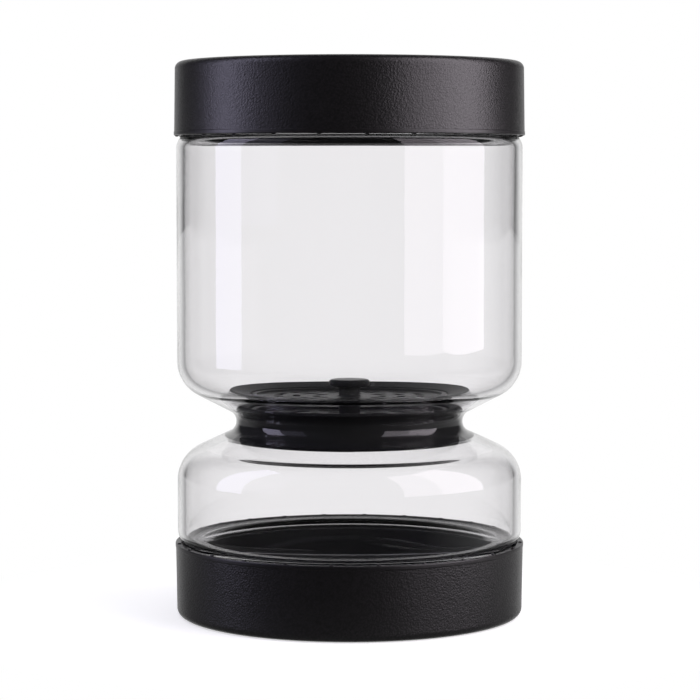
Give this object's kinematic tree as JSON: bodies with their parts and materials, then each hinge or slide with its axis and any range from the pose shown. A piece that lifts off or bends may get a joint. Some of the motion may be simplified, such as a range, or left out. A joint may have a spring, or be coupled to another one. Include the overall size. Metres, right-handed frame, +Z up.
{
  "type": "pickle keeper",
  "caption": "Hourglass pickle keeper: clear waisted glass jar with a threaded neck and a black screw lid at each end, and a soft collar that carries a lift-out strainer in its waist.",
  "frame": {"origin": "middle of the underside of the lower lid, on which the keeper stands", "axes": "+Z up along the axis of the jar, from the lower lid to the upper lid; +X and +Y are level, and the picture looks along +Y"},
  "size_m": [0.105, 0.105, 0.166],
  "materials": {
    "jar_glass": "clear and polished",
    "collar_silicone": "smooth moulded silicone",
    "strainer_plastic": "smooth moulded",
    "lid_plastic": "fine leather grain",
    "liner_plastic": "satin moulded",
    "seal_silicone": "matt silicone"
  },
  "bodies": {
    "lower_lid": {"lower_lid_cover": "lid_plastic", "lower_lid_liner": "liner_plastic"},
    "lower_seal": {"lower_lid_seal": "seal_silicone"},
    "jar": {"jar_body": "jar_glass", "strainer_collar": "collar_silicone"},
    "strainer": {"strainer": "strainer_plastic"},
    "upper_seal": {"upper_lid_seal": "seal_silicone"},
    "upper_lid": {"upper_lid_cover": "lid_plastic", "upper_lid_liner": "liner_plastic"}
  },
  "joints": [
    {"name": "jar_lift", "type": "slide", "parent": "lower_lid", "child": "lower_seal", "axis": [0, 0, 1], "range_m": [0, 0.024]},
    {"name": "jar_turn", "type": "hinge", "parent": "lower_seal", "child": "jar", "pos_m": [0, 0, 0.0046], "axis": [0, 0, 1], "range_deg": [0, 360]},
    {"name": "upper_lid_lift", "type": "slide", "parent": "jar", "child": "upper_seal", "axis": [0, 0, 1], "range_m": [0, 0.024]},
    {"name": "upper_lid_turn", "type": "hinge", "parent": "upper_seal", "child": "upper_lid", "pos_m": [0, 0, 0.1614], "axis": [0, 0, 1], "range_deg": [0, 360]},
    {"name": "strainer_lift", "type": "slide", "parent": "jar", "child": "strainer", "axis": [0, 0, 1], "range_m": [0, 0.085]}
  ],
  "couplings": [
    {"joint": "jar_lift", "follows": "jar_turn", "m_per_rad": 0.0038197},
    {"joint": "upper_lid_lift", "follows": "upper_lid_turn", "m_per_rad": 0.0038197}
  ]
}
